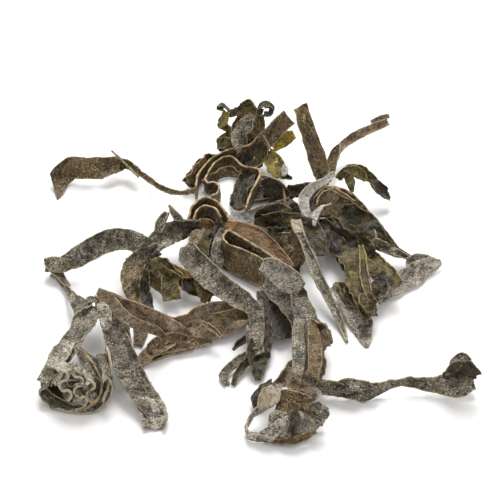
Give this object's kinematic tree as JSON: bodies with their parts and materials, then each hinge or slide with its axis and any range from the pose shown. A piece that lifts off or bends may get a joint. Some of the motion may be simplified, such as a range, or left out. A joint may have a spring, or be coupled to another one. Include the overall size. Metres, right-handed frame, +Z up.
{
  "type": "kelp frond",
  "caption": "Dried, tangled kelp frond: a crumpled blade base with its narrow straps curled and looped around it.",
  "frame": {"origin": "middle of the frond's footprint, on the surface it lies on", "axes": "+Z up from that surface, +X to the right and +Y away from the viewer of the picture"},
  "size_m": [0.1678, 0.1879, 0.0353],
  "materials": {
    "grey_blade": "matte, salt-bloomed",
    "brown_blade": "matte, speckled",
    "olive_blade": "matte, thin and translucent",
    "tan_blade": "matte, speckled",
    "silver_skin": "satin, wrinkled"
  },
  "bodies": {
    "root": {"far_left_strap": "brown_blade", "far_left_sliver": "grey_blade", "outer_coil_strap": "brown_blade", "inner_coil_strap": "brown_blade", "small_coil_strap": "brown_blade", "small_coil_inner_strap": "brown_blade", "hairpin_strap": "brown_blade", "pale_end_strap": "grey_blade", "round_grey_strap": "grey_blade", "broad_leaf": "tan_blade", "under_leaf_strap": "brown_blade", "arch_strap": "grey_blade", "lower_left_strap": "grey_blade", "rosette_inner_strap": "grey_blade", "rosette_frill": "grey_blade", "left_cluster_strap": "grey_blade", "left_spike": "grey_blade", "left_frill_strap": "grey_blade", "olive_lobe": "olive_blade", "olive_fold_strap": "olive_blade", "front_left_strap": "grey_blade", "left_knob": "tan_blade", "back_sheet": "olive_blade", "back_left_frill": "olive_blade", "back_right_curl": "olive_blade", "yellow_flap": "olive_blade", "back_olive_strap": "olive_blade", "coil_back_lobe": "brown_blade", "coil_right_wall": "brown_blade", "pale_crinkle_strap": "silver_skin", "gold_fold": "olive_blade", "centre_back_strap": "brown_blade", "crumpled_blade": "brown_blade", "centre_band": "brown_blade", "blade_base": "brown_blade", "long_diagonal_strap": "grey_blade", "pale_tip_strap": "grey_blade", "tall_strap": "brown_blade", "small_leaf": "brown_blade", "back_right_stem": "brown_blade", "right_hanging_strap": "olive_blade", "hanging_lobe": "olive_blade", "pale_crescent_strap": "silver_skin", "right_broad_strap": "brown_blade", "right_tip_strap": "tan_blade", "right_slim_strap": "olive_blade", "olive_crumple_strap": "olive_blade", "olive_fin": "olive_blade", "front_cross_strap": "grey_blade", "front_centre_strap": "grey_blade", "front_side_fin": "brown_blade", "front_loop_strap": "grey_blade", "front_dark_lobe": "brown_blade", "front_crumple": "grey_blade", "finger_body": "olive_blade", "upper_finger": "grey_blade", "lower_finger": "grey_blade", "front_right_strap": "grey_blade", "front_right_curl": "grey_blade"}
  },
  "joints": []
}
